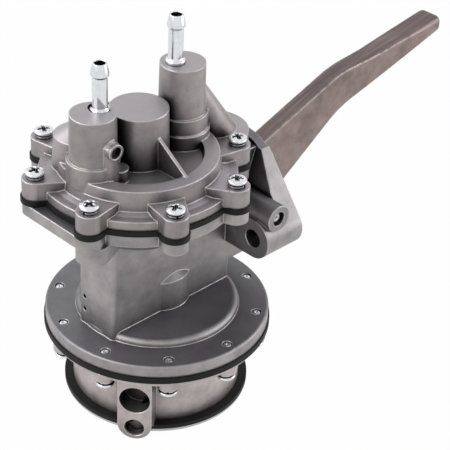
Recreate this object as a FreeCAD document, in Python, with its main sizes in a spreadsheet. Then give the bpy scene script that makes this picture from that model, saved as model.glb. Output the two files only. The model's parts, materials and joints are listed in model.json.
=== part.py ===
import FreeCAD, Part
import Sketcher
import math
import os

# Dual-diaphragm mechanical fuel pump with a rocker arm
# Millimetres, +Z up, +X towards the engine. The origin is the middle of the mounting
# face, halfway between the two bolt holes. Most castings are drawn in the pump frame,
# whose origin is the middle of the top face of the lower flange.

doc = FreeCAD.newDocument("FuelPump")
Vector = FreeCAD.Vector

# Driving sizes, one spreadsheet cell each
sizes = {
    # where the main axes stand
    "mount_reach": 62.0,
    "mount_rise": 40.0,
    "fuel_inset": 14.9,
    "pivot_setback": 17.0,
    "pivot_rise": 13.0,
    "gap": 0.3,
    "fit": 0.05,
    "overlap": 1.0,
    "edge_round": 1.2,
    # mounting flange
    "mount_bolt_spacing": 68.0,
    "mount_bolt_hole": 5.25,
    "ear_radius": 11.3,
    "ear_depth": 26.0,
    "mount_plate": 5.5,
    "mount_root": 12.0,
    "mount_root_rise": 39.5,
    "mount_slant_low": 21.0,
    "mount_slant_high": 40.5,
    "mount_top_radius": 29.0,
    "mount_top_rise": 15.0,
    # rocker housing
    "column_half": 13.6,
    "column_back": 43.2,
    "column_front": 40.5,
    "column_corner": 2.5,
    "chamber_half": 10.0,
    "chamber_floor": 7.0,
    "chamber_ceiling": 54.0,
    "chamber_back": 38.0,
    "chamber_front": 32.5,
    "neck_bottom": 15.4,
    "neck_floor": 20.0,
    "neck_step": 37.5,
    "neck_ceiling": 74.0,
    "neck_slope_top": 15.0,
    "neck_slope_foot": 37.0,
    "vent_radius": 1.25,
    "vent_side": 9.0,
    "vent_low": 9.0,
    "vent_pitch": 7.9,
    "rod_boss_radius": 17.0,
    "rod_boss_top": 24.5,
    "rod_boss_bevel": 3.2,
    "pin_boss_radius": 7.5,
    "pin_boss_reach": 43.5,
    "drain_boss_radius": 8.5,
    "drain_boss_drop": 9.0,
    # lower flange and dome
    "lower_radius": 60.0,
    "lower_thick": 7.0,
    "dome_radius": 43.7,
    "dome_rise": 4.0,
    "dome_round": 3.4,
    "dome_skin": 5.5,
    "lower_recess": 44.0,
    "lower_recess_taper": 4.0,
    "lower_bolt_inset": 6.0,
    "lower_bolt_count": 10,
    "lower_bolt_phase": 18.0,
    # upper flange and lobes
    "upper_seam": 79.5,
    "upper_thick": 6.5,
    "upper_radius": 50.5,
    "upper_bolt_outset": 3.2,
    "upper_bolt_count": 8,
    "upper_bolt_phase": 22.5,
    "lobe_radius": 6.8,
    "bowl_depth": 23.0,
    "bowl_foot": 28.0,
    "bowl_rim": 47.5,
    "recess_radius": 42.0,
    "recess_lip": 2.0,
    "recess_step": 34.0,
    "recess_depth": 10.5,
    "spring_well_radius": 18.5,
    "spring_well_floor": 62.0,
    "engine_pad_reach": 35.2,
    "engine_pad_radius": 20.2,
    # screws
    "screw_radius": 2.5,
    "head_radius": 4.9,
    "head_tall": 3.2,
    "head_crown": 1.0,
    "lock_washer_thick": 1.3,
    "lock_washer_radius": 4.5,
    "lock_washer_angle": 345.0,
    "hole_play": 0.25,
    # rubber sheets
    "fuel_sheet": 3.0,
    "vacuum_sheet": 3.4,
    "sheet_overhang": 0.8,
    # fuel cover
    "cover_lobe_tall": 10.0,
    "cover_rim_tall": 4.8,
    "lobe_root_half": 10.5,
    "drum_foot": 42.6,
    "drum_radius": 41.1,
    "drum_inner": 33.2,
    "drum_top": 16.0,
    "drum_floor": 12.0,
    "cover_room_radius": 38.5,
    "cover_room_tall": 8.5,
    "centre_tower_radius": 15.0,
    "centre_tower_foot": 15.7,
    "centre_tower_tall": 40.3,
    "inlet_tower_out": 29.7,
    "inlet_tower_radius": 11.6,
    "inlet_tower_foot": 12.3,
    "inlet_tower_tall": 47.4,
    "outlet_tower_out": 29.1,
    "outlet_tower_radius": 11.7,
    "outlet_tower_foot": 12.4,
    "outlet_tower_tall": 55.7,
    "collar_step": 1.1,
    "inlet_collar_tall": 22.8,
    "outlet_collar_low": 20.0,
    "outlet_collar_high": 28.6,
    "shoulder_turn": 145.0,
    "shoulder_out": 30.0,
    "shoulder_foot": 13.8,
    "shoulder_radius": 12.4,
    "shoulder_edge": 27.0,
    "shoulder_rise": 34.0,
    "shoulder_top_out": 25.0,
    "shoulder_top_radius": 5.0,
    "web_foot_out": 52.9,
    "web_foot_radius": 12.3,
    "web_rise": 47.5,
    "web_top_radius": 6.0,
    "web_top_out": 32.0,
    "fin_thick": 1.8,
    "fin_rise": 30.0,
    "plug_side": 1.5,
    "plug_out": 10.0,
    "plug_rise": 31.4,
    "plug_boss_radius": 5.0,
    "plug_face_radius": 4.4,
    "plug_face_reach": 5.6,
    "plug_hole": 3.1,
    "plug_hole_depth": 4.0,
    "plug_foot_side": 6.5,
    "plug_foot_rise": 18.5,
    "tower_wall": 4.5,
    "tower_roof": 9.0,
    # hose barbs
    "inlet_barb_side": 6.2,
    "outlet_barb_side": 3.2,
    "barb_offset": 2.1,
    "barb_length": 26.3,
    "barb_shank": 8.0,
    "barb_stem": 3.9,
    "barb_crest": 4.7,
    "barb_head": 6.2,
    "barb_land": 1.2,
    "barb_mouth": 3.6,
    "barb_collar": 5.1,
    "barb_collar_tall": 2.6,
    "barb_bore": 2.75,
    "barb_seat": 6.0,
    "barb_seat_depth": 2.0,
    # vacuum cover
    "lid_inset": 1.2,
    "lid_thick": 3.0,
    "lid_slope": 2.4,
    "lid_root": 1.5,
    "lug_radius": 5.6,
    "lug_tall": 6.6,
    "cup_radius": 45.4,
    "cup_wall": 3.2,
    "cup_tall": 36.0,
    "cup_floor_depth": 23.2,
    "cup_floor_thick": 3.0,
    "base_gasket_lip": 4.7,
    "base_gasket_thick": 2.6,
    "base_plate_lip": 4.2,
    "base_plate_thick": 2.5,
    "base_bolt_inset": 7.9,
    "base_bolt_count": 4,
    "base_boss_radius": 4.6,
    "base_screw_radius": 2.0,
    "base_head_radius": 3.8,
    "port_angle": 216.0,
    "port_reach": 56.0,
    "port_half": 9.1,
    "upper_port_drop": 26.1,
    "upper_port_radius": 8.2,
    "upper_port_depth": 11.0,
    "lower_port_drop": 44.3,
    "lower_port_radius": 5.4,
    "lower_port_depth": 5.0,
    "passage_radius": 2.2,
    "passage_side": 4.5,
    "passage_rise": 3.6,
    "upper_passage_rise": 5.4,
    "upper_passage_radius": 1.8,
    "valve_wall": 1.6,
    # rods, plates and springs
    "rod_radius": 4.0,
    "rod_thread": 3.0,
    "rod_shoulder": 7.0,
    "seal_radius": 8.0,
    "seal_depth": 4.2,
    "seal_thick": 3.4,
    "plate_thick": 1.2,
    "fuel_plate_radius": 30.0,
    "vacuum_plate_radius": 31.0,
    "plate_rim": 2.4,
    "nut_half": 5.0,
    "nut_tall": 4.2,
    "nut_washer_radius": 6.5,
    "tang_half": 6.5,
    "tang_thick": 2.4,
    "window_half": 3.4,
    "link_drop": 3.0,
    "fuel_spring_radius": 15.0,
    "fuel_spring_wire": 1.1,
    "fuel_spring_turns": 3.5,
    "vacuum_spring_radius": 14.0,
    "vacuum_spring_wire": 1.1,
    "vacuum_spring_turns": 4.5,
    "return_spring_radius": 3.7,
    "return_spring_wire": 0.7,
    "return_spring_turns": 6.0,
    "coil_steps": 12.0,
    # valves
    "valve_seat_radius": 8.5,
    "valve_hole": 4.2,
    "valve_seat_thick": 2.4,
    "valve_disc_radius": 6.4,
    "valve_disc_thick": 1.4,
    "valve_spring_tall": 3.2,
    "valve_spring_radius": 3.0,
    "valve_spring_wire": 0.35,
    "valve_spring_turns": 2.5,
    "valve_cage_thick": 1.4,
    "valve_rest": 0.1,
    "vacuum_valve_out": 27.0,
    # rocker arm, links and pin
    "pin_radius": 4.0,
    "pin_recess": 1.6,
    "arm_half": 5.0,
    "arm_tip_half": 7.9,
    "arm_bend_round": 60.0,
    "arm_heel_drop": 1.5,
    "hub_radius": 9.5,
    "arm_nose": 34.0,
    "arm_nose_tall": 9.0,
    "arm_bend_out": 86.4,
    "arm_bend_top": 41.3,
    "arm_bend_low": 19.1,
    "arm_crook_out": 112.0,
    "arm_crook_top": 43.4,
    "arm_root_out": 28.7,
    "arm_root_top": 20.0,
    "arm_heel_out": 40.0,
    "arm_heel_low": -13.5,
    "arm_end_out": 169.0,
    "arm_end_top": 52.4,
    "arm_end_low": 42.4,
    "arm_tip_round": 4.0,
    "link_sheet": 2.0,
    "link_tall": 6.0,
    "link_bar": 2.2,
    "link_end": 3.4,
    "link_waist": 25.0,
    "link_web_start": 14.5,
    "link_web_end": 23.0,
    "link_lift": 0.8,
}

sheet = doc.addObject("Spreadsheet::Sheet", "Sizes")
for row, (name, number) in enumerate(sizes.items(), 1):
    sheet.set("A%d" % row, name)
    sheet.set("B%d" % row, "%g" % number)
    sheet.setAlias("B%d" % row, name)
doc.recompute()


class Size:
    """A number with the sheet formula that gives it, so that a sum binds a feature."""

    def __init__(self, value, formula):
        self.value = value
        self.formula = formula

    def __add__(self, other):
        return joined(self, "+", other)

    def __radd__(self, other):
        return joined(other, "+", self)

    def __sub__(self, other):
        return joined(self, "-", other)

    def __rsub__(self, other):
        return joined(other, "-", self)

    def __mul__(self, other):
        return joined(self, "*", other)

    def __rmul__(self, other):
        return joined(other, "*", self)

    def __truediv__(self, other):
        return joined(self, "/", other)

    def __neg__(self):
        return joined(0, "-", self)


def as_size(amount):
    if isinstance(amount, Size):
        return amount
    return Size(float(amount), "%.9g" % amount)


def joined(left, sign, right):
    left = as_size(left)
    right = as_size(right)
    results = {
        "+": left.value + right.value,
        "-": left.value - right.value,
        "*": left.value * right.value,
    }
    value = left.value / right.value if sign == "/" else results[sign]
    return Size(value, "(%s %s %s)" % (left.formula, sign, right.formula))


def cosine(angle):
    angle = as_size(angle)
    return Size(math.cos(math.radians(angle.value)), "cos(%s)" % angle.formula)


def sine(angle):
    angle = as_size(angle)
    return Size(math.sin(math.radians(angle.value)), "sin(%s)" % angle.formula)


def root(amount):
    return Size(math.sqrt(amount.value), "sqrt(%s)" % amount.formula)


class Sheet:
    """Gives each cell of the spreadsheet as a Size, by its alias."""

    def __getattr__(self, name):
        return Size(float(sheet.get(name)), "Sizes." + name)


s = Sheet()


class Round:
    """A full circle in a sketch."""

    def __init__(self, x, y, radius):
        self.x = x
        self.y = y
        self.radius = radius


class SoftBox:
    """A rectangle with round corners in a sketch."""

    def __init__(self, left, low, right, high, radius):
        self.sides = (left, low, right, high)
        self.radius = radius


def bind(thing, path, amount):
    """Sets a property from a size, and keeps it bound to the sheet."""
    amount = as_size(amount)
    thing.setExpression(path, amount.formula)


def origin_feature(body, role):
    return [item for item in body.Origin.OriginFeatures if item.Role == role][0]


def stand(piece, x, y, z):
    """Stands a piece's own origin at x, y, z of the pump frame."""
    bind(piece, "Placement.Base.x", as_size(x) - s.mount_reach)
    bind(piece, "Placement.Base.y", as_size(y))
    bind(piece, "Placement.Base.z", as_size(z) - s.mount_rise)


def make_body(label, x=0, y=0, z=0, spin=None):
    """A piece whose own origin stands at x, y, z of the pump frame, turned by spin."""
    body = doc.addObject("PartDesign::Body", label)
    body.Label = label
    if spin is not None:
        body.Placement = FreeCAD.Placement(Vector(), FreeCAD.Rotation(Vector(0, 0, 1), 10))
        bind(body, "Placement.Rotation.Angle", spin)
    stand(body, x, y, z)
    return body


def pin_point(sketch, element, corner, x, y):
    for kind, amount in (("DistanceX", as_size(x)), ("DistanceY", as_size(y))):
        index = sketch.addConstraint(Sketcher.Constraint(kind, -1, 1, element, corner, amount.value))
        if "Sizes." in amount.formula:
            sketch.setExpression("Constraints[%d]" % index, amount.formula)


def draw_round(sketch, loop):
    centre = Vector(as_size(loop.x).value, as_size(loop.y).value, 0)
    radius = as_size(loop.radius)
    element = sketch.addGeometry(Part.Circle(centre, Vector(0, 0, 1), radius.value))
    pin_point(sketch, element, 3, loop.x, loop.y)
    index = sketch.addConstraint(Sketcher.Constraint("Radius", element, radius.value))
    sketch.setExpression("Constraints[%d]" % index, radius.formula)


def draw_outline(sketch, points):
    corners = [Vector(as_size(x).value, as_size(y).value, 0) for x, y in points]
    count = len(corners)
    lines = []
    for here in range(count):
        line = Part.LineSegment(corners[here], corners[(here + 1) % count])
        lines.append(sketch.addGeometry(line))
    for here in range(count):
        after = lines[(here + 1) % count]
        sketch.addConstraint(Sketcher.Constraint("Coincident", lines[here], 2, after, 1))
    for line, (x, y) in zip(lines, points):
        pin_point(sketch, line, 1, x, y)


def draw_soft_box(sketch, loop):
    left, low, right, high = [as_size(side) for side in loop.sides]
    radius = as_size(loop.radius)
    sides = [
        ((left + radius, low), (right - radius, low)), ((right, low + radius), (right, high - radius)),
        ((right - radius, high), (left + radius, high)), ((left, high - radius), (left, low + radius))]
    centres = [(right - radius, low + radius), (right - radius, high - radius),
               (left + radius, high - radius), (left + radius, low + radius)]
    lines = []
    for start, end in sides:
        points = [Vector(x.value, y.value, 0) for x, y in (start, end)]
        line = sketch.addGeometry(Part.LineSegment(points[0], points[1]))
        lines.append(line)
        pin_point(sketch, line, 1, start[0], start[1])
        pin_point(sketch, line, 2, end[0], end[1])
    for here, (x, y) in enumerate(centres):
        circle = Part.Circle(Vector(x.value, y.value, 0), Vector(0, 0, 1), radius.value)
        quarter = math.pi / 2
        arc = sketch.addGeometry(Part.ArcOfCircle(circle, (here - 1) * quarter, here * quarter))
        sketch.addConstraint(Sketcher.Constraint("Coincident", arc, 1, lines[here], 2))
        sketch.addConstraint(Sketcher.Constraint("Coincident", arc, 2, lines[(here + 1) % 4], 1))
        index = sketch.addConstraint(Sketcher.Constraint("Radius", arc, radius.value))
        sketch.setExpression("Constraints[%d]" % index, radius.formula)


def sketch_on(body, plane, level, loops, at=(0, 0), turn=None, swing=None):
    """A sketch at a level along its plane's world axis.

    at moves its origin in the plane, turn rotates it in the plane, and swing
    turns an upright sketch about the vertical axis through its origin.
    """
    sketch = body.newObject("Sketcher::SketchObject", "Sketch")
    sketch.AttachmentSupport = [(origin_feature(body, plane + "_Plane"), "")]
    sketch.MapMode = "FlatFace"
    backwards = plane == "XZ" and swing is None
    along = -as_size(level) if backwards else as_size(level)
    if turn is not None:
        sketch.AttachmentOffset = FreeCAD.Placement(Vector(), FreeCAD.Rotation(Vector(0, 0, 1), 10))
        bind(sketch, "AttachmentOffset.Rotation.Angle", turn)
    if swing is not None:
        sketch.AttachmentOffset = FreeCAD.Placement(Vector(), FreeCAD.Rotation(Vector(0, 1, 0), 10))
        bind(sketch, "AttachmentOffset.Rotation.Angle", swing)
        bind(sketch, "AttachmentOffset.Base.x", along * sine(swing))
        bind(sketch, "AttachmentOffset.Base.z", along * cosine(swing))
    else:
        bind(sketch, "AttachmentOffset.Base.x", as_size(at[0]))
        bind(sketch, "AttachmentOffset.Base.y", as_size(at[1]))
        bind(sketch, "AttachmentOffset.Base.z", along)
    for loop in loops:
        if isinstance(loop, Round):
            draw_round(sketch, loop)
        elif isinstance(loop, SoftBox):
            draw_soft_box(sketch, loop)
        else:
            draw_outline(sketch, loop)
    return sketch


def pad(body, plane, low, high, loops, **place):
    """Adds the loops as a block between two levels of the plane's world axis."""
    level = high if plane == "XZ" and "swing" not in place else low
    feature_sketch = sketch_on(body, plane, level, loops, **place)
    feature = body.newObject("PartDesign::Pad", "Pad")
    feature.Profile = feature_sketch
    bind(feature, "Length", as_size(high) - as_size(low))
    return feature


def pocket(body, plane, low, high, loops, **place):
    """Cuts the loops as a block between two levels of the plane's world axis."""
    level = low if plane == "XZ" and "swing" not in place else high
    feature_sketch = sketch_on(body, plane, level, loops, **place)
    feature = body.newObject("PartDesign::Pocket", "Pocket")
    feature.Profile = feature_sketch
    bind(feature, "Length", as_size(high) - as_size(low))
    return feature


def axis_line(sketch, x):
    """An upright construction line at x, used as the axis of a turned shape."""
    x = as_size(x)
    line = sketch.addGeometry(Part.LineSegment(Vector(x.value, 0, 0), Vector(x.value, 10, 0)), True)
    pin_point(sketch, line, 1, x, 0)
    pin_point(sketch, line, 2, x, 10)


def turned(body, profile, axis=None, cut=False, angle=None):
    """Turns an X-Z profile about the body's Z axis, or about an upright line at x = axis."""
    sketch = sketch_on(body, "XZ", 0, [profile])
    if axis is not None:
        axis_line(sketch, axis)
    feature = body.newObject("PartDesign::Groove" if cut else "PartDesign::Revolution", "Turned")
    feature.Profile = sketch
    feature.ReferenceAxis = (sketch, ["V_Axis"] if axis is None else ["Axis0"])
    bind(feature, "Angle", 360 if angle is None else angle)
    return feature


def repeat_round(body, features, count, centre=(0, 0)):
    """Repeats features in equal steps about an upright axis."""
    axis_sketch = sketch_on(body, "XY", 0, [Round(0, 0, s.screw_radius)], at=centre)
    pattern = body.newObject("PartDesign::PolarPattern", "Pattern")
    pattern.Originals = features
    pattern.Axis = (axis_sketch, ["N_Axis"])
    pattern.Angle = 360
    bind(pattern, "Occurrences", count)
    body.Tip = pattern
    return pattern


def mirrored(body, features):
    """Repeats features on the other side of the X-Z plane."""
    feature = body.newObject("PartDesign::Mirrored", "Mirror")
    feature.Originals = features
    feature.MirrorPlane = (origin_feature(body, "XZ_Plane"), [""])
    body.Tip = feature
    return feature


def soften(body, radius, wanted, kind="Fillet"):
    """Rounds or bevels the edges that the test picks."""
    doc.recompute()
    base = body.Tip
    if "Invalid" in base.State:
        raise RuntimeError("%s of %s failed: %s" % (base.Name, body.Label, base.getStatusString()))
    names = []
    for number, edge in enumerate(base.Shape.Edges, 1):
        if wanted(edge):
            names.append("Edge%d" % number)
    if not names:
        raise ValueError("no edge to soften on " + body.Label)
    feature = body.newObject("PartDesign::" + kind, kind)
    feature.Base = (base, names)
    bind(feature, "Radius" if kind == "Fillet" else "Size", radius)
    return feature


def close(one, other):
    return abs(one - other) < 0.02


def circle_at(level, radius):
    """Picks a round edge of one radius at one height."""
    level = as_size(level).value
    radius = as_size(radius).value

    def wanted(edge):
        curve = edge.Curve
        return (isinstance(curve, Part.Circle) and close(curve.Radius, radius)
                and close(curve.Center.z, level) and abs(curve.Axis.z) > 0.99)

    return wanted


# Places in the pump frame that several pieces share
fuel_x = -s.fuel_inset
pivot_x = s.mount_reach - s.pivot_setback
pivot_z = s.mount_rise + s.pivot_rise
link_z = pivot_z - s.link_drop
cover_z = s.upper_seam + s.fuel_sheet
lobe_top = cover_z + s.cover_lobe_tall
room_top = cover_z + s.cover_room_tall
lid_z = -s.lower_thick - s.vacuum_sheet
cup_end = lid_z - s.cup_tall
upper_ring = s.upper_radius + s.upper_bolt_outset
lower_ring = s.lower_radius - s.lower_bolt_inset
lid_edge = s.lower_radius - s.lid_inset
gasket_edge = s.cup_radius + s.base_gasket_lip
plate_edge = s.cup_radius + s.base_plate_lip
base_ring = s.cup_radius - s.base_bolt_inset
plate_z = cup_end - s.base_gasket_thick
ground_z = plate_z - s.base_plate_thick
inlet_x = fuel_x - s.inlet_tower_out
outlet_x = fuel_x + s.outlet_tower_out
clear_hole = s.screw_radius + s.hole_play
tapped_hole = s.screw_radius + s.fit
base_turn = s.port_angle + 45
inlet_turn = s.port_angle + 90
outlet_turn = s.port_angle - 90


def rect(left, low, right, high):
    return [(left, low), (right, low), (right, high), (left, high)]


def outer_tangent(near, near_radius, far, far_radius, side):
    """The two points where a line touches two circles on one side of their centres."""
    across = far[0] - near[0]
    up = far[1] - near[1]
    reach = root(across * across + up * up)
    lean = (near_radius - far_radius) / reach
    open_part = root(1 - lean * lean)
    normal_x = (across * lean - side * up * open_part) / reach
    normal_y = (up * lean + side * across * open_part) / reach
    return [
        (near[0] + near_radius * normal_x, near[1] + near_radius * normal_y),
        (far[0] + far_radius * normal_x, far[1] + far_radius * normal_y),
    ]


def upper_lobes(body, low, high, grow=0, root_half=None):
    """Eight screw lobes round the fuel axis, between two heights."""
    place = {"at": (fuel_x, 0), "turn": s.upper_bolt_phase}
    radius = s.lobe_radius + grow
    half = radius if root_half is None else root_half
    ring = upper_ring
    inside = s.drum_inner + s.lobe_radius / 2
    neck = [(inside, -half), (ring, -radius), (ring, radius), (inside, half)]
    end = pad(body, "XY", low, high, [Round(ring, 0, radius)], **place)
    web = pad(body, "XY", low, high, [neck], **place)
    repeat_round(body, [end, web], s.upper_bolt_count, (fuel_x, 0))


def upper_plate(body, low, high, grow=0, pad_high=None):
    """The round plate of the upper section with its pad on the engine side."""
    pad_high = high if pad_high is None else pad_high
    half = s.engine_pad_radius + grow
    pad(body, "XY", low, high, [Round(fuel_x, 0, s.upper_radius + grow)])
    reach = s.engine_pad_reach
    pad(body, "XY", low, pad_high, [Round(reach, 0, half)])
    pad(body, "XY", low, pad_high, [rect(reach - s.engine_pad_radius, -half, reach, half)])


def upper_holes(body, low, high, radius):
    hole = pocket(body, "XY", low, high, [Round(upper_ring, 0, radius)],
                  at=(fuel_x, 0), turn=s.upper_bolt_phase)
    repeat_round(body, [hole], s.upper_bolt_count, (fuel_x, 0))


def lower_holes(body, low, high, radius):
    hole = pocket(body, "XY", low, high, [Round(lower_ring, 0, radius)],
                  turn=s.lower_bolt_phase)
    repeat_round(body, [hole], s.lower_bolt_count)


# Main casting: lower flange, rocker housing, upper flange and mounting flange
def main_body():
    body = make_body("main_body")
    seam = s.upper_seam
    skin = s.dome_rise - s.dome_skin
    turned(body, [
        (0, skin), (s.lower_recess - s.lower_recess_taper, skin), (s.lower_recess, -s.lower_thick),
        (s.lower_radius, -s.lower_thick), (s.lower_radius, 0), (s.dome_radius, 0),
        (s.dome_radius, s.dome_rise), (0, s.dome_rise)])
    soften(body, s.dome_round, circle_at(s.dome_rise, s.dome_radius))
    soften(body, s.edge_round, circle_at(0, s.lower_radius))

    # rocker housing between the two flanges
    half = s.column_half
    pad(body, "XY", 0, seam - s.upper_thick,
        [SoftBox(-s.column_back, -half, s.column_front, half, s.column_corner)])
    pad(body, "XY", 0, s.rod_boss_top, [Round(0, 0, s.rod_boss_radius)])
    soften(body, s.rod_boss_bevel, circle_at(s.rod_boss_top, s.rod_boss_radius), "Chamfer")
    plate_back = s.mount_reach - s.mount_plate
    pad(body, "XY", s.neck_bottom, seam,
        [rect(s.chamber_front, -s.column_half, plate_back + s.overlap, s.column_half)])

    # bowl and lobed flange of the fuel section
    bowl_low = seam - s.bowl_depth
    turned(body, [
        (fuel_x, bowl_low), (fuel_x + s.bowl_foot, bowl_low),
        (fuel_x + s.bowl_rim, seam - s.upper_thick), (fuel_x, seam - s.upper_thick)],
        axis=fuel_x)
    upper_plate(body, seam - s.upper_thick, seam)
    upper_lobes(body, seam - s.upper_thick, seam)
    side_reach = upper_ring * cosine(s.upper_bolt_phase) + s.lobe_radius
    side_half = upper_ring * sine(s.upper_bolt_phase)
    pad(body, "XY", seam - s.upper_thick, seam,
        [rect(-side_reach, -side_half, -s.bowl_rim, side_half)], at=(fuel_x, 0))
    drain_ring = upper_ring - s.lobe_radius / 2
    drain_low = seam - s.upper_thick - s.drain_boss_drop
    drain_place = {"at": (fuel_x, 0), "turn": s.upper_bolt_phase + 180}
    drain_half = s.drain_boss_radius
    pad(body, "XY", drain_low, seam - s.upper_thick, [Round(drain_ring, 0, drain_half)], **drain_place)
    pad(body, "XY", drain_low, seam - s.upper_thick,
        [rect(s.bowl_foot, -drain_half, drain_ring, drain_half)], **drain_place)

    # mounting flange, its ears and the boss for the pivot pin
    ear_y = s.mount_bolt_spacing / 2
    ear_z = s.mount_rise
    crown_z = s.mount_rise + s.mount_top_rise
    right = outer_tangent((ear_y, ear_z), s.ear_radius, (0, crown_z), s.mount_top_radius, -1)
    left = [(-y, z) for y, z in reversed(right)]
    plate = right + left + [(-ear_y, ear_z - s.ear_radius), (ear_y, ear_z - s.ear_radius)]
    pad(body, "YZ", plate_back, s.mount_reach, [plate])
    foot, shoulder = right
    root_z = ear_z + s.mount_root_rise
    run = (root_z - foot[1]) / (shoulder[1] - foot[1])
    root_y = foot[0] + (shoulder[0] - foot[0]) * run
    root_plate = [
        foot, (root_y, root_z), (-root_y, root_z), (-foot[0], foot[1]),
        (-ear_y, ear_z - s.ear_radius), (ear_y, ear_z - s.ear_radius)]
    root_back = s.mount_reach - s.mount_root
    pad(body, "YZ", root_back, s.mount_reach, [root_plate])
    slant_top = ear_z + s.mount_slant_high
    slant = pocket(body, "XZ", s.column_half, ear_y, [[
        (root_back - s.overlap, ear_z + s.mount_slant_low), (root_back, ear_z + s.mount_slant_low),
        (plate_back, slant_top), (root_back - s.overlap, slant_top)]])
    mirrored(body, [slant])
    pad(body, "YZ", plate_back, s.mount_reach, [Round(0, crown_z, s.mount_top_radius)])
    pad(body, "YZ", plate_back, s.mount_reach,
        [rect(-s.column_half, s.neck_bottom, s.column_half, ear_z)])
    ear_back = s.mount_reach - s.ear_depth
    ears = pad(body, "YZ", ear_back, s.mount_reach, [Round(-ear_y, ear_z, s.ear_radius)])
    mirrored(body, [ears])
    pad(body, "YZ", ear_back, s.mount_reach,
        [rect(-ear_y, ear_z - s.ear_radius, ear_y, ear_z + s.ear_radius)])
    pad(body, "XZ", -s.pin_boss_reach, s.pin_boss_reach, [Round(pivot_x, pivot_z, s.pin_boss_radius)])

    # rocker chamber, open through the mounting face
    past_face = s.mount_reach + s.overlap
    pocket(body, "XZ", -s.chamber_half, s.chamber_half, [[
        (-s.chamber_back, s.chamber_floor), (s.chamber_front, s.chamber_floor),
        (s.neck_step, s.neck_floor), (past_face, s.neck_floor),
        (past_face, s.neck_ceiling), (pivot_x - s.neck_slope_top, s.neck_ceiling),
        (pivot_x - s.neck_slope_foot, s.chamber_ceiling), (-s.chamber_back, s.chamber_ceiling)]])

    # diaphragm recess and spring well of the fuel section
    step_z = seam - s.recess_depth
    turned(body, [
        (fuel_x, s.spring_well_floor), (fuel_x + s.spring_well_radius, s.spring_well_floor),
        (fuel_x + s.spring_well_radius, step_z), (fuel_x + s.recess_step, step_z),
        (fuel_x + s.recess_radius, seam - s.recess_lip), (fuel_x + s.recess_radius, seam),
        (fuel_x, seam)],
        axis=fuel_x, cut=True)

    # rod bores with their seal pockets
    rod_bore = s.rod_radius + s.gap
    pocket(body, "XY", skin, s.chamber_floor, [Round(0, 0, rod_bore)])
    pocket(body, "XY", s.chamber_floor - s.seal_depth, s.chamber_floor, [Round(0, 0, s.seal_radius)])
    pocket(body, "XY", s.chamber_ceiling, s.spring_well_floor, [Round(fuel_x, 0, rod_bore)])
    pocket(body, "XY", s.chamber_ceiling, s.chamber_ceiling + s.seal_depth,
           [Round(fuel_x, 0, s.seal_radius)])

    # drilled holes
    bolts = pocket(body, "YZ", ear_back, s.mount_reach, [Round(-ear_y, ear_z, s.mount_bolt_hole)])
    mirrored(body, [bolts])
    pocket(body, "XZ", -s.pin_boss_reach, s.pin_boss_reach,
           [Round(pivot_x, pivot_z, s.pin_radius + s.fit)])
    lower_holes(body, -s.lower_thick, 0, tapped_hole)
    upper_holes(body, seam - s.upper_thick - s.drain_boss_drop, seam, tapped_hole)
    vents = [Round(s.vent_side, s.vent_low, s.vent_radius),
             Round(s.vent_side, s.vent_low + s.vent_pitch, s.vent_radius)]
    pocket(body, "YZ", -s.column_back, -s.chamber_back, vents)


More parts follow.
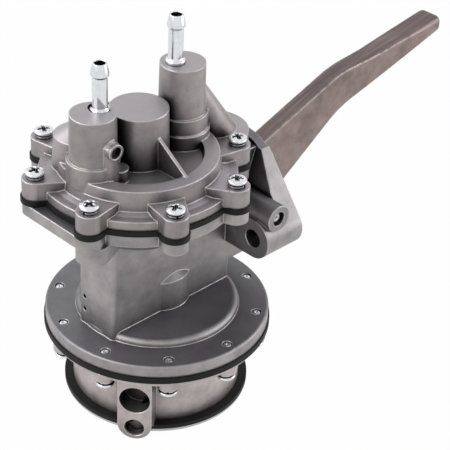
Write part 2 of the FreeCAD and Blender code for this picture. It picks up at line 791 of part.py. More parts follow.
# Cover of the fuel section with its three towers
def fuel_cover():
    body = make_body("fuel_cover")
    rim_top = cover_z + s.cover_rim_tall
    drum_top = cover_z + s.drum_top
    drum_floor = cover_z + s.drum_floor
    edge = s.overlap
    upper_plate(body, cover_z, rim_top, pad_high=lobe_top)
    upper_lobes(body, cover_z, lobe_top, root_half=s.lobe_root_half)
    turned(body, [
        (fuel_x, rim_top - edge), (fuel_x + s.upper_radius - edge, rim_top - edge),
        (fuel_x + s.drum_foot, rim_top + edge), (fuel_x + s.drum_radius, drum_top),
        (fuel_x + s.drum_inner, drum_top), (fuel_x + s.drum_inner - edge, drum_floor),
        (fuel_x, drum_floor)], axis=fuel_x)

    def tower(x, foot, top, height):
        low = drum_floor - edge
        turned(body, [(x, low), (x + foot, low), (x + top, cover_z + height), (x, cover_z + height)],
               axis=x)

    def collar(x, radius, height):
        pad(body, "XY", drum_floor - edge, cover_z + height, [Round(x, 0, radius)])

    tower(fuel_x, s.centre_tower_foot, s.centre_tower_radius, s.centre_tower_tall)
    tower(inlet_x, s.inlet_tower_foot, s.inlet_tower_radius, s.inlet_tower_tall)
    tower(outlet_x, s.outlet_tower_foot, s.outlet_tower_radius, s.outlet_tower_tall)
    collar(inlet_x, s.inlet_tower_foot + s.collar_step, s.inlet_collar_tall)
    collar(outlet_x, s.outlet_tower_foot + s.collar_step, s.outlet_collar_high)
    collar(outlet_x, s.outlet_tower_foot + s.collar_step * 2, s.outlet_collar_low)

    # shoulder behind the inlet tower, web in front of the outlet tower and middle fin
    side_x = cosine(s.shoulder_turn)
    side_y = sine(s.shoulder_turn)
    out = s.shoulder_out
    edge_z = cover_z + s.shoulder_edge
    rounded = (fuel_x + out * side_x, out * side_y, edge_z, s.shoulder_radius)
    slope(body, (fuel_x + out * side_x, out * side_y, rim_top, s.shoulder_foot), rounded)
    top_out = s.shoulder_top_out
    slope(body, rounded, (fuel_x + top_out * side_x, top_out * side_y, cover_z + s.shoulder_rise,
                          s.shoulder_top_radius))
    slope(body, (fuel_x + s.web_foot_out, 0, lobe_top - edge, s.web_foot_radius),
          (fuel_x + s.web_top_out, 0, cover_z + s.web_rise, s.web_top_radius))
    fin_low = -s.drum_inner - s.collar_step * 2
    fin_high = edge - s.centre_tower_radius
    pad(body, "YZ", fuel_x - s.fin_thick / 2, fuel_x + s.fin_thick / 2, [[
        (fin_low, drum_floor), (fin_high, drum_floor), (fin_high, cover_z + s.fin_rise),
        (fin_low, drum_top)]])
    plug_boss(body, drum_floor - edge)

    # pump chamber, valve pockets and passages
    pocket(body, "XY", cover_z, room_top, [Round(fuel_x, 0, s.cover_room_radius)])
    tops = ((inlet_x, s.inlet_tower_tall, s.inlet_barb_side, s.barb_seat_depth),
            (outlet_x, s.outlet_tower_tall, -s.outlet_barb_side, 0))
    for x, height, barb_side, seat_depth in tops:
        top = cover_z + height
        pocket(body, "XY", room_top, room_top + valve_stack(),
               [Round(x, 0, s.valve_seat_radius + s.fit)])
        pocket(body, "XY", room_top, top - s.tower_roof, [Round(x, 0, s.inlet_tower_radius - s.tower_wall)])
        pocket(body, "XY", top - s.tower_roof - edge, top,
               [Round(x + barb_side, s.barb_offset, s.barb_stem + s.fit)])
        if seat_depth:
            pocket(body, "XY", top - seat_depth, top,
                   [Round(x + barb_side, s.barb_offset, s.barb_seat)])
    upper_holes(body, cover_z, lobe_top, clear_hole)


def plug_boss(body, foot_z):
    """The half-round boss on the inlet tower, with its blind hole and its small foot."""
    x = inlet_x + s.plug_side
    y = -s.plug_out
    z = cover_z + s.plug_rise
    radius = s.plug_boss_radius
    pad(body, "XY", foot_z, z + radius, [Round(x, y, radius)])
    soften(body, radius / 2, circle_at(z + radius, radius), "Chamfer")
    pad(body, "XY", foot_z, cover_z + s.plug_foot_rise, [Round(x + s.plug_foot_side, y, radius)])
    face = y - s.plug_face_reach
    pad(body, "XZ", face, y, [Round(x, z, s.plug_face_radius)])
    pocket(body, "XZ", face, face + s.plug_hole_depth, [Round(x, z, s.plug_hole)])


def slope(body, low, high):
    """A lofted slope between two level circles, each given as x, y, height and radius."""
    foot = sketch_on(body, "XY", low[2], [Round(low[0], low[1], low[3])])
    top = sketch_on(body, "XY", high[2], [Round(high[0], high[1], high[3])])
    loft = body.newObject("PartDesign::AdditiveLoft", "Slope")
    loft.Profile = foot
    loft.Sections = [top]
    loft.Ruled = True
    return loft


def valve_stack():
    return (s.valve_cage_thick + s.valve_spring_tall + s.valve_disc_thick
            + s.valve_rest + s.valve_seat_thick)


# Rubber sheets
def fuel_diaphragm():
    body = make_body("fuel_diaphragm")
    low = s.upper_seam
    upper_plate(body, low, cover_z, grow=s.sheet_overhang)
    upper_lobes(body, low, cover_z, grow=s.sheet_overhang)
    pocket(body, "XY", low, cover_z, [Round(fuel_x, 0, s.rod_thread + s.gap)])
    upper_holes(body, low, cover_z, clear_hole)


def vacuum_diaphragm():
    body = make_body("vacuum_diaphragm")
    top = -s.lower_thick
    pad(body, "XY", lid_z, top, [Round(0, 0, s.lower_radius + s.sheet_overhang)])
    pocket(body, "XY", lid_z, top, [Round(0, 0, s.rod_thread + s.gap)])
    lower_holes(body, lid_z, top, clear_hole)


# Cup of the vacuum section with its port boss
def vacuum_cover():
    body = make_body("vacuum_cover")
    inner = s.cup_radius - s.cup_wall
    floor_top = lid_z - s.cup_floor_depth
    floor_low = floor_top - s.cup_floor_thick
    slope_end = lid_z - s.lid_thick - s.lid_slope
    turned(body, [
        (inner, lid_z), (lid_edge, lid_z), (lid_edge, lid_z - s.lid_thick),
        (s.cup_radius + s.lid_root, slope_end), (s.cup_radius, slope_end - s.lid_root),
        (s.cup_radius, cup_end), (inner, cup_end), (inner, floor_low), (0, floor_low),
        (0, floor_top), (inner, floor_top)])
    edge = s.overlap
    lug = pad(body, "XY", lid_z - s.lug_tall, lid_z - edge, [Round(lower_ring, 0, s.lug_radius)],
              turn=s.lower_bolt_phase)
    lug_root = pad(body, "XY", lid_z - s.lug_tall, lid_z - edge,
                   [rect(s.cup_radius - edge, -s.lug_radius, lower_ring, s.lug_radius)],
                   turn=s.lower_bolt_phase)
    repeat_round(body, [lug, lug_root], s.lower_bolt_count)

    # bosses for the base screws and the wall between the two valve rooms
    boss = pad(body, "XY", cup_end, floor_low + edge, [Round(base_ring, 0, s.base_boss_radius)],
               turn=base_turn)
    repeat_round(body, [boss], s.base_bolt_count)
    wall = s.cup_wall / 2
    pad(body, "XY", cup_end, floor_low + edge, [rect(-inner - wall, -wall, inner + wall, wall)],
        turn=s.port_angle)

    # port boss, rounded below, standing in front of the base gasket
    swing = s.port_angle - 270
    front = s.port_reach
    skirt = gasket_edge + s.gap
    half = s.port_half
    pad(body, "XZ", skirt, front, [Round(0, ground_z + half, half)], swing=swing)
    boss_top = lid_z - s.lid_thick / 2
    pad(body, "XZ", skirt, front, [rect(-half, ground_z + half, half, boss_top)], swing=swing)
    pad(body, "XZ", inner + edge, skirt, [rect(-half, cup_end, half, boss_top)], swing=swing)
    upper_z = -s.upper_port_drop
    lower_z = -s.lower_port_drop
    side = s.passage_side
    hole = s.passage_radius
    upper_end = front - s.upper_port_depth
    pocket(body, "XZ", upper_end, front, [Round(0, upper_z, s.upper_port_radius)], swing=swing)
    passage_z = cup_end + s.passage_rise
    pocket(body, "XZ", upper_end, upper_end + s.cup_wall,
           [rect(side - hole, passage_z, side + hole, upper_z)], swing=swing)
    pocket(body, "XZ", inner - edge, upper_end + edge,
           [Round(side, cup_end + s.upper_passage_rise, s.upper_passage_radius)], swing=swing)
    pocket(body, "XZ", front - s.lower_port_depth, front, [Round(0, lower_z, s.lower_port_radius)],
           swing=swing)
    pocket(body, "XZ", inner - edge, front - s.lower_port_depth + edge,
           [Round(edge - side, passage_z, hole)], swing=swing)

    # valve housings through the floor, base screw holes and flange screw holes
    pocket_radius = s.valve_seat_radius + s.fit
    outlet_low = floor_top - valve_stack()
    inlet_top = floor_low + valve_stack()
    for turn, low, high in ((outlet_turn, outlet_low, floor_top), (inlet_turn, floor_low, inlet_top)):
        place = {"turn": turn}
        pad(body, "XY", low, high, [Round(s.vacuum_valve_out, 0, pocket_radius + s.valve_wall)], **place)
        pocket(body, "XY", low, high, [Round(s.vacuum_valve_out, 0, pocket_radius)], **place)
    base_hole = pocket(body, "XY", cup_end, floor_low - edge,
                       [Round(base_ring, 0, s.base_screw_radius + s.fit)],
                       turn=base_turn)
    repeat_round(body, [base_hole], s.base_bolt_count)
    lower_holes(body, lid_z - s.lug_tall, lid_z, clear_hole)


# Screws with pan heads, in a ring about one axis
def ring_of_screws(label, x, seat, up, ring, count, phase, length):
    body = make_body(label, x, 0, seat, spin=phase)
    under = s.lock_washer_thick * up
    top = (s.lock_washer_thick + s.head_tall) * up
    crown = (s.lock_washer_thick + s.head_tall - s.head_crown) * up
    screw = turned(body, [
        (ring, -length * up), (ring + s.screw_radius, -length * up), (ring + s.screw_radius, under),
        (ring + s.head_radius, under), (ring + s.head_radius, crown),
        (ring + s.head_radius * 0.6, top), (ring, top)], axis=ring)
    repeat_round(body, [screw], count)


def ring_of_washers(label, x, seat, up, ring, count, phase):
    body = make_body(label, x, 0, seat, spin=phase)
    top = s.lock_washer_thick * up
    inner = s.screw_radius + s.fit
    washer = turned(body, [
        (ring + inner, 0), (ring + s.lock_washer_radius, 0), (ring + s.lock_washer_radius, top),
        (ring + inner, top)], axis=ring, angle=s.lock_washer_angle)
    repeat_round(body, [washer], count)


def base_pieces():
    gasket = make_body("base_gasket", 0, 0, plate_z)
    top = s.base_gasket_thick
    pad(gasket, "XY", 0, top, [Round(0, 0, gasket_edge)])
    pocket(gasket, "XY", 0, top, [Round(0, 0, base_ring - s.base_boss_radius)])
    hole = pocket(gasket, "XY", 0, top, [Round(base_ring, 0, s.base_screw_radius + s.gap)],
                  turn=base_turn)
    repeat_round(gasket, [hole], s.base_bolt_count)

    plate = make_body("base_plate", 0, 0, ground_z, spin=base_turn)
    thick = s.base_plate_thick
    bevel = s.base_head_radius - s.base_screw_radius
    turned(plate, [(0, 0), (plate_edge - thick / 3, 0), (plate_edge, thick / 3),
                   (plate_edge, thick), (0, thick)])
    ring = base_ring
    screw_hole = [(ring, 0), (ring + s.base_head_radius + s.fit, 0),
                  (ring + s.base_screw_radius + s.fit, bevel), (ring + s.base_screw_radius + s.fit, thick),
                  (ring, thick)]
    cone = turned(plate, screw_hole, axis=ring, cut=True)
    repeat_round(plate, [cone], s.base_bolt_count)

    screws = make_body("base_screws", 0, 0, ground_z, spin=base_turn)
    length = thick + s.base_gasket_thick + s.base_head_radius
    one = turned(screws, [(ring, 0), (ring + s.base_head_radius, 0), (ring + s.base_screw_radius, bevel),
                          (ring + s.base_screw_radius, length), (ring, length)], axis=ring)
    repeat_round(screws, [one], s.base_bolt_count)


# A pull rod with its slotted tang at the link and its thread through the diaphragm
def pull_rod(label, x, up, reach, stack):
    body = make_body(label, x, 0, link_z)
    window = s.link_bar + s.gap
    collar = (reach - s.plate_thick) * up
    face = reach * up
    turned(body, [
        (0, window * up), (s.rod_radius, window * up), (s.rod_radius, collar),
        (s.rod_shoulder, collar), (s.rod_shoulder, face), (s.rod_thread, face),
        (s.rod_thread, (reach + stack) * up), (0, (reach + stack) * up)])
    low = -window - s.tang_thick
    high = window + s.tang_thick / 3
    pad(body, "XZ", -s.tang_thick, s.tang_thick, [rect(-s.tang_half, low, s.tang_half, high)])
    pocket(body, "XZ", -s.tang_thick - 2, s.tang_thick + 2,
           [rect(-s.window_half, -window, s.window_half, window)])


def dished_plate(label, x, z, up, radius):
    """A pressed plate with a rim that curls away from the rubber."""
    body = make_body(label, x, 0, z)
    thick = s.plate_thick * up
    curl = (s.plate_thick + s.plate_rim) * up
    edge = radius - s.plate_rim
    turned(body, [
        (s.rod_thread + s.fit, 0), (edge, 0), (radius, s.plate_rim * up), (radius, curl),
        (radius - s.plate_thick * 0.7, curl), (edge - s.plate_thick * 0.6, thick),
        (s.rod_thread + s.fit, thick)])


def hex_nut(label, x, z):
    body = make_body(label, x, 0, z)
    half = s.nut_half
    corner = half * (2 / math.sqrt(3))
    points = [(corner * cosine(60 * k), corner * sine(60 * k)) for k in range(6)]
    pad(body, "XY", 0, s.nut_tall, [points])
    pad(body, "XY", 0, s.nut_tall / 5, [Round(0, 0, s.nut_washer_radius)])
    pocket(body, "XY", 0, s.nut_tall, [Round(0, 0, s.rod_thread + s.fit)])


def plain_ring(label, x, y, z, inner, outer, thick):
    body = make_body(label, x, y, z)
    turned(body, [(inner, 0), (outer, 0), (outer, thick), (inner, thick)])
    return body


def rod_seals():
    inner = s.rod_radius + s.fit * 2
    outer = s.seal_radius - s.fit
    cap = s.seal_depth - s.seal_thick
    plain_ring("fuel_rod_seal", fuel_x, 0, s.chamber_ceiling + cap, inner, outer, s.seal_thick)
    plain_ring("fuel_seal_retainer", fuel_x, 0, s.chamber_ceiling, s.rod_radius + s.gap, outer, cap)
    plain_ring("vacuum_rod_seal", 0, 0, s.chamber_floor - s.seal_depth, inner, outer, s.seal_thick)
    plain_ring("vacuum_seal_retainer", 0, 0, s.chamber_floor - cap, s.rod_radius + s.gap, outer, cap)


# A coil spring standing on z, of one six-sided wire lofted through even steps
def coil(label, x, y, z, tall, radius, wire, turns):
    step_count = round(turns.value * s.coil_steps.value)
    rise = (as_size(tall) - 2 * wire).value / step_count
    step_angle = 2 * math.pi * turns.value / step_count
    sections = []
    for step in range(step_count + 1):
        middle = wire.value + rise * step
        sections.append(wire_section(radius.value, middle, wire.value, step_angle * step))
    spring = doc.addObject("Part::Feature", label)
    spring.Label = label
    spring.Shape = Part.makeLoft(sections, True, True)
    stand(spring, x, y, z)


def wire_section(radius, middle, wire, angle):
    """A hexagon across the wire, in the upright plane at one angle of the coil."""
    corners = []
    for side in range(7):
        lean = math.radians(60 * side + 30)
        out = radius + wire * math.cos(lean)
        height = middle + wire * math.sin(lean)
        corners.append(Vector(out * math.cos(angle), out * math.sin(angle), height))
    return Part.makePolygon(corners)


# A poppet valve: pressed seat, sprung disc and the cage that holds the spring
def poppet_valve(label, x, y, z, up):
    """z is the seat's outer face and the valve opens upwards if up is 1."""
    def level(distance, thick):
        return z + distance if up > 0 else z - distance - thick

    disc_at = s.valve_seat_thick + s.valve_rest
    spring_at = disc_at + s.valve_disc_thick
    cage_at = spring_at + s.valve_spring_tall
    plain_ring(label + "_seat", x, y, level(0, s.valve_seat_thick), s.valve_hole, s.valve_seat_radius,
               s.valve_seat_thick)
    disc = make_body(label + "_disc", x, y, level(disc_at, s.valve_disc_thick))
    pad(disc, "XY", 0, s.valve_disc_thick, [Round(0, 0, s.valve_disc_radius)])
    coil(label + "_spring", x, y, level(spring_at, s.valve_spring_tall), s.valve_spring_tall,
         s.valve_spring_radius, s.valve_spring_wire, s.valve_spring_turns)
    cage = make_body(label + "_cage", x, y, level(cage_at, s.valve_cage_thick))
    pad(cage, "XY", 0, s.valve_cage_thick, [Round(0, 0, s.valve_seat_radius)])
    spoke = s.valve_spring_radius / 4
    rim = s.valve_disc_radius
    corner = rim * cosine(45)
    window = [(spoke, spoke), (rim - spoke / 2, spoke), (corner, corner), (spoke, rim - spoke / 2)]
    opening = pocket(cage, "XY", 0, s.valve_cage_thick, [window])
    repeat_round(cage, [opening], 4)


def valves():
    poppet_valve("fuel_inlet_valve", inlet_x, 0, room_top + valve_stack(), -1)
    poppet_valve("fuel_outlet_valve", outlet_x, 0, room_top, 1)
    floor_top = lid_z - s.cup_floor_depth
    floor_low = floor_top - s.cup_floor_thick
    out = s.vacuum_valve_out
    poppet_valve("vacuum_inlet_valve", out * cosine(inlet_turn), out * sine(inlet_turn), floor_low, 1)
    poppet_valve("vacuum_outlet_valve", out * cosine(outlet_turn), out * sine(outlet_turn), floor_top, -1)


# Hose barbs pressed into the towers
def barb(label, x, z):
    body = make_body(label, x, s.barb_offset, z)
    long = s.barb_length
    crest = long - s.barb_head
    turned(body, [
        (s.barb_bore, -s.barb_shank), (s.barb_stem, -s.barb_shank), (s.barb_stem, 0), (s.barb_collar, 0),
        (s.barb_collar, s.barb_collar_tall * 0.6), (s.barb_stem, s.barb_collar_tall),
        (s.barb_stem, crest - s.barb_land), (s.barb_crest, crest),
        (s.barb_crest, crest + s.barb_land), (s.barb_mouth, long), (s.barb_bore, long)])


# Rocker arm, drawn about the pivot
def rocker_arm():
    body = make_body("rocker_arm", pivot_x, 0, pivot_z)
    tip = s.arm_tip_half
    hub = s.hub_radius
    heel = s.arm_heel_low - s.arm_heel_drop
    outline = [
        (hub * cosine(110), hub * sine(110)), (s.arm_root_out, s.arm_root_top),
        (s.arm_bend_out, s.arm_bend_top), (s.arm_crook_out, s.arm_crook_top),
        (s.arm_end_out, s.arm_end_top), (s.arm_end_out, s.arm_end_low), (s.arm_bend_out, s.arm_bend_low),
        (s.arm_heel_out, s.arm_heel_low), (s.arm_root_out, heel), (hub * cosine(258), hub * sine(258))]
    pad(body, "XZ", -tip, tip, [outline])
    soften(body, s.arm_tip_round, cross_edges(s.arm_end_out, s.arm_end_out))
    soften(body, s.arm_bend_round, cross_edges(s.arm_bend_out, s.arm_crook_out))
    soften(body, s.hub_radius, cross_edges(s.arm_root_out, s.arm_heel_out))
    soften(body, s.arm_tip_round, tip_corners(s.arm_end_out, tip))
    edge = s.overlap
    nose_low = edge - s.arm_nose_tall
    nose = [(-s.arm_nose, nose_low), (0, nose_low), (0, hub - 2 * edge), (-s.arm_nose, edge)]
    pad(body, "XZ", -s.arm_half, s.arm_half, [nose])
    pad(body, "XZ", -s.arm_half, s.arm_half, [Round(0, 0, hub)])
    side = [(-hub, s.arm_half), (s.arm_bend_out, s.arm_half), (s.arm_end_out, tip),
            (s.arm_end_out, tip + edge), (-hub, tip + edge)]
    cheek = pocket(body, "XY", -hub * 2, s.arm_bend_top + s.hub_radius, [side])
    mirrored(body, [cheek])
    pocket(body, "XZ", -tip, tip, [Round(0, 0, s.pin_radius + s.fit)])


def cross_edges(low, high):
    """Picks edges that run across the arm, between two distances from the pivot."""
    low = low.value - 0.1
    high = high.value + 0.1

    def wanted(edge):
        if not isinstance(edge.Curve, Part.Line) or len(edge.Vertexes) < 2:
            return False
        start = edge.Vertexes[0].Point
        end = edge.Vertexes[1].Point
        across = close(start.x, end.x) and close(start.z, end.z)
        return across and low < start.x < high

    return wanted


def tip_corners(out, half):
    """Picks the two upright edges at the tip of the arm."""
    out = out.value
    half = half.value

    def wanted(edge):
        if not isinstance(edge.Curve, Part.Line) or len(edge.Vertexes) < 2:
            return False
        start = edge.Vertexes[0].Point
        end = edge.Vertexes[1].Point
        upright = close(start.x, end.x) and close(start.y, end.y)
        return upright and close(start.x, out) and close(abs(start.y), half)

    return wanted


# A stamped link: two cheeks on the pin, a bar through the rod's tang and a web under the nose
def pull_link(label, rod_x, inner, drop):
    body = make_body(label, pivot_x, 0, pivot_z)
    outer = inner + s.link_sheet
    end = rod_x - pivot_x
    low = -drop - s.link_sheet
    bar_z = -s.link_drop
    tail = s.link_end
    cheek = [
        (0, s.link_tall), (-s.link_waist, bar_z + tail), (end - tail, bar_z + tail),
        (end - tail, bar_z - tail), (-s.link_web_end - s.link_tall, low), (-s.hub_radius, low),
        (0, -s.link_tall)]
    left = pad(body, "XZ", -outer, -inner, [cheek])
    eye = pad(body, "XZ", -outer, -inner, [Round(0, 0, s.link_tall + s.overlap)])
    mirrored(body, [left, eye])
    pad(body, "XZ", -outer, outer, [Round(end, bar_z, s.link_bar)])
    pad(body, "XY", low, -drop, [rect(-s.link_web_end, -outer, -s.link_web_start, outer)])
    pocket(body, "XZ", -outer, outer, [Round(0, 0, s.pin_radius + s.fit)])


def pivot_pin():
    body = make_body("pivot_pin", pivot_x, 0, pivot_z)
    reach = s.pin_boss_reach - s.pin_recess
    pad(body, "XZ", -reach, reach, [Round(0, 0, s.pin_radius)])


def springs():
    fuel_low = s.spring_well_floor + s.fit
    fuel_high = s.upper_seam - s.plate_thick - s.fit
    coil("fuel_spring", fuel_x, 0, fuel_low, fuel_high - fuel_low, s.fuel_spring_radius,
         s.fuel_spring_wire, s.fuel_spring_turns)
    vacuum_low = lid_z - s.cup_floor_depth + s.fit
    vacuum_high = lid_z - s.plate_thick - s.fit
    coil("vacuum_spring", 0, 0, vacuum_low, vacuum_high - vacuum_low, s.vacuum_spring_radius,
         s.vacuum_spring_wire, s.vacuum_spring_turns)
    nose_low = pivot_z + s.overlap - s.arm_nose_tall
    return_low = s.chamber_floor + s.fit
    coil("return_spring", pivot_x - s.arm_nose + s.return_spring_radius, 0, return_low,
         nose_low - s.fit - return_low, s.return_spring_radius, s.return_spring_wire, s.return_spring_turns)


def rods():
    seam = s.upper_seam
    stack = s.fuel_sheet + 2 * s.plate_thick + s.nut_tall + s.gap
    pull_rod("fuel_rod", fuel_x, 1, seam - s.plate_thick - link_z, stack)
    dished_plate("fuel_lower_plate", fuel_x, seam, -1, s.fuel_plate_radius)
    dished_plate("fuel_upper_plate", fuel_x, cover_z, 1, s.fuel_plate_radius)
    hex_nut("fuel_rod_nut", fuel_x, cover_z + s.plate_thick)

    under = -s.lower_thick
    stack = s.vacuum_sheet + 2 * s.plate_thick + s.nut_tall + s.gap
    pull_rod("vacuum_rod", 0, -1, link_z - under - s.plate_thick, stack)
    dished_plate("vacuum_upper_plate", 0, under, 1, s.vacuum_plate_radius)
    dished_plate("vacuum_lower_plate", 0, lid_z, -1, s.vacuum_plate_radius)
    hex_nut("vacuum_rod_nut", 0, lid_z - s.plate_thick - s.nut_tall)


main_body()
fuel_cover()
vacuum_cover()
fuel_diaphragm()
vacuum_diaphragm()
upper_length = s.cover_lobe_tall + s.fuel_sheet + s.upper_thick - s.gap
ring_of_screws("cover_screws", fuel_x, lobe_top, 1, upper_ring, s.upper_bolt_count,
               s.upper_bolt_phase, upper_length)
ring_of_washers("cover_lock_washers", fuel_x, lobe_top, 1, upper_ring, s.upper_bolt_count,
                s.upper_bolt_phase)
lug_low = lid_z - s.lug_tall
ring_of_screws("vacuum_screws", 0, lug_low, -1, lower_ring, s.lower_bolt_count,
               s.lower_bolt_phase, -lug_low - s.gap)
ring_of_washers("vacuum_lock_washers", 0, lug_low, -1, lower_ring, s.lower_bolt_count,
                s.lower_bolt_phase)
base_pieces()
rods()
rod_seals()
springs()
valves()
barb("inlet_barb", inlet_x + s.inlet_barb_side, cover_z + s.inlet_tower_tall - s.barb_seat_depth)
barb("outlet_barb", outlet_x - s.outlet_barb_side, cover_z + s.outlet_tower_tall)
rocker_arm()
under_nose = s.arm_nose_tall - s.link_lift
pull_link("vacuum_link", as_size(0), s.arm_half + s.gap, under_nose)
pull_link("fuel_link", fuel_x, s.arm_half + s.link_sheet + 2 * s.gap,
          under_nose + s.link_sheet + s.link_lift / 2)
pivot_pin()

doc.recompute()

for item in doc.Objects:
    if "Invalid" in item.State or "Error" in item.State:
        raise RuntimeError("%s failed: %s" % (item.Label, item.getStatusString()))

bodies = [item for item in doc.Objects if item.TypeId == "PartDesign::Body"]
coils = [item for item in doc.Objects if item.TypeId == "Part::Feature"]
pieces = bodies + coils
for piece in pieces:
    if piece.Shape.isNull() or not piece.Shape.isValid():
        raise RuntimeError(piece.Label + " has no valid shape")
for body in bodies:
    for feature in body.Group:
        if feature.TypeId in ("PartDesign::Pocket", "PartDesign::Groove"):
            before = feature.BaseFeature.Shape.Volume
            if before - feature.Shape.Volume < 0.01:
                raise RuntimeError("%s in %s cuts nothing" % (feature.Name, body.Label))

os.makedirs("parts", exist_ok=True)
for piece in pieces:
    piece.Shape.exportStep("parts/%s.step" % piece.Label)
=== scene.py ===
import bpy
import bmesh
import json
from math import cos, pi, radians, sin
from mathutils import Matrix, Vector


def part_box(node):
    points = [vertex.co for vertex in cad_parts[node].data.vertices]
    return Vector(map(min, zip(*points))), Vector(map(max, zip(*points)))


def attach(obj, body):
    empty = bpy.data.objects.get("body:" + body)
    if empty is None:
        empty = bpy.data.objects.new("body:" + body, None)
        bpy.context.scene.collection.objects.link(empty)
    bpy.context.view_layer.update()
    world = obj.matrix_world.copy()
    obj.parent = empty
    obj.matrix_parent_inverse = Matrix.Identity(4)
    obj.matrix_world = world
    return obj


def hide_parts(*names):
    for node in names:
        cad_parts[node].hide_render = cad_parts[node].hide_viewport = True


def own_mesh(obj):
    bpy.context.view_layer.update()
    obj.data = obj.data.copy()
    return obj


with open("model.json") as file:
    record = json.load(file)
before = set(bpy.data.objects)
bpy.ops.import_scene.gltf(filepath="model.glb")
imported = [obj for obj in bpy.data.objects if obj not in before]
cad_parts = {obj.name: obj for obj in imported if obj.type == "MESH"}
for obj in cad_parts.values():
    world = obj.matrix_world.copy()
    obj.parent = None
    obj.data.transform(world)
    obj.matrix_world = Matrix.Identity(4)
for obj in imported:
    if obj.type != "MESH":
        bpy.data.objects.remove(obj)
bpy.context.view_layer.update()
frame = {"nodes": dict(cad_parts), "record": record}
nodes = frame["nodes"]
mm = 0.001
print("frame loaded:", len(nodes), "nodes")

# the frame's origin is on the mounting face, and the pump's own axis stands here
pumpAxis = Vector((-62.0, 0.0, -40.0)) * mm
atOrigin = Vector((0, 0, 0))

# camera, set from the pump's axis in degrees and millimetres
camera = {
    "azimuth": -45.6,
    "elevation": 32.9,
    "roll": 2.6,
    "distance": 853.5,
    "aside": 33.1,
    "raised": -10.9,
    "targetHeight": 60.0,
    "lens": 131.7,
    "sensor": 36.0,
    "shiftX": 0.0044,
    "shiftY": 0.0004,
    "near": 10.0,
    "far": 20000.0,
}


def makeCamera(look):
    az, el, roll = radians(look["azimuth"]), radians(look["elevation"]), radians(look["roll"])
    back = Vector((sin(az) * cos(el), -cos(az) * cos(el), sin(el)))
    level = Vector((cos(az), sin(az), 0.0))
    upright = back.cross(level)
    right = cos(roll) * level + sin(roll) * upright
    up = cos(roll) * upright - sin(roll) * level
    eye = back * look["distance"] + right * look["aside"] + up * look["raised"]
    eye.z += look["targetHeight"]
    data = bpy.data.cameras.new("mainCamera")
    data.sensor_width = look["sensor"]
    data.lens = look["lens"]
    data.shift_x = look["shiftX"]
    data.shift_y = look["shiftY"]
    data.clip_start = look["near"] * mm
    data.clip_end = look["far"] * mm
    made = bpy.data.objects.new("mainCamera", data)
    turn = Matrix((right, up, back)).transposed().to_4x4()
    made.matrix_world = Matrix.Translation(eye * mm + pumpAxis) @ turn
    bpy.context.scene.collection.objects.link(made)
    bpy.context.scene.camera = made


makeCamera(camera)
print("camera made")


# a wire is a node's output, and a sum of wires adds its Math nodes
class Wire:
    def __init__(self, graph, socket):
        self.graph = graph
        self.socket = socket

    def math(self, operation, first, second):
        return self.graph.node("ShaderNodeMath", {"operation": operation}, {0: first, 1: second})

    def __add__(self, other):
        return self.math("ADD", self, other)

    def __radd__(self, other):
        return self.math("ADD", other, self)

    def __sub__(self, other):
        return self.math("SUBTRACT", self, other)

    def __rsub__(self, other):
        return self.math("SUBTRACT", other, self)

    def __mul__(self, other):
        return self.math("MULTIPLY", self, other)

    def __rmul__(self, other):
        return self.math("MULTIPLY", other, self)


class Graph:
    def __init__(self, name, isWorld=False):
        self.owner = bpy.data.worlds.new(name) if isWorld else bpy.data.materials.new(name)
        self.owner.use_nodes = True
        self.tree = self.owner.node_tree
        self.tree.nodes.clear()

    def node(self, kind, settings=None, inputs=None, output=0):
        made = self.tree.nodes.new(kind)
        for name, value in (settings or {}).items():
            if name == "stops":
                setStops(made.color_ramp, value)
            else:
                setattr(made, name, value)
        for socket, value in (inputs or {}).items():
            if isinstance(value, Wire):
                self.tree.links.new(value.socket, made.inputs[socket])
            else:
                made.inputs[socket].default_value = value
        return Wire(self, made.outputs[output]) if len(made.outputs) else None

    def place(self):
        return self.node("ShaderNodeTexCoord", output="Object")

    def noise(self, where, scale, detail=3.0, roughness=0.55):
        sizes = {"Vector": where, "Scale": scale, "Detail": detail, "Roughness": roughness}
        return self.node("ShaderNodeTexNoise", {}, sizes, "Fac")

    def ramp(self, amount, stops):
        return self.node("ShaderNodeValToRGB", {"stops": stops}, {"Fac": amount})

    def band(self, amount, low, high, first=0.0, last=1.0):
        sizes = {"Value": amount, "From Min": low, "From Max": high, "To Min": first, "To Max": last}
        return self.node("ShaderNodeMapRange", {"clamp": True}, sizes)

    def mix(self, amount, first, second):
        # sockets 6, 7 and 2 are the colours in and out
        colours = {"Factor": amount, 6: first, 7: second}
        return self.node("ShaderNodeMix", {"data_type": "RGBA"}, colours, 2)

    def stretch(self, where, scales):
        return self.node("ShaderNodeVectorMath", {"operation": "MULTIPLY"}, {0: where, 1: scales})

    def softEdges(self, radius):
        # a rounded normal, and 1 on the edges that it rounds
        rounded = self.node("ShaderNodeBevel", {"samples": 6}, {"Radius": radius}, "Normal")
        flat = self.node("ShaderNodeNewGeometry", output="Normal")
        both = {0: rounded, 1: flat}
        facing = self.node("ShaderNodeVectorMath", {"operation": "DOT_PRODUCT"}, both, "Value")
        return rounded, self.band(facing, 0.995, 0.86)

    def crevice(self, reach, clear, shut):
        # 1 deep in holes and corners, 0 on open faces; the mask of painted shade
        seen = self.node("ShaderNodeAmbientOcclusion", {"samples": 8}, {"Distance": reach}, "AO")
        return self.band(seen, clear, shut)

    def upwards(self):
        # 1 on faces that look up, 0 on walls
        facing = self.node("ShaderNodeNewGeometry", output="Normal")
        return self.node("ShaderNodeSeparateXYZ", {}, {0: facing}, 2)

    def bump(self, height, depth, normal, strength):
        inputs = {"Height": height, "Distance": depth, "Strength": strength, "Normal": normal}
        return self.node("ShaderNodeBump", {}, inputs, "Normal")

    def surface(self, values):
        shader = self.node("ShaderNodeBsdfPrincipled", {}, values)
        self.node("ShaderNodeOutputMaterial", {}, {"Surface": shader})
        return self.owner


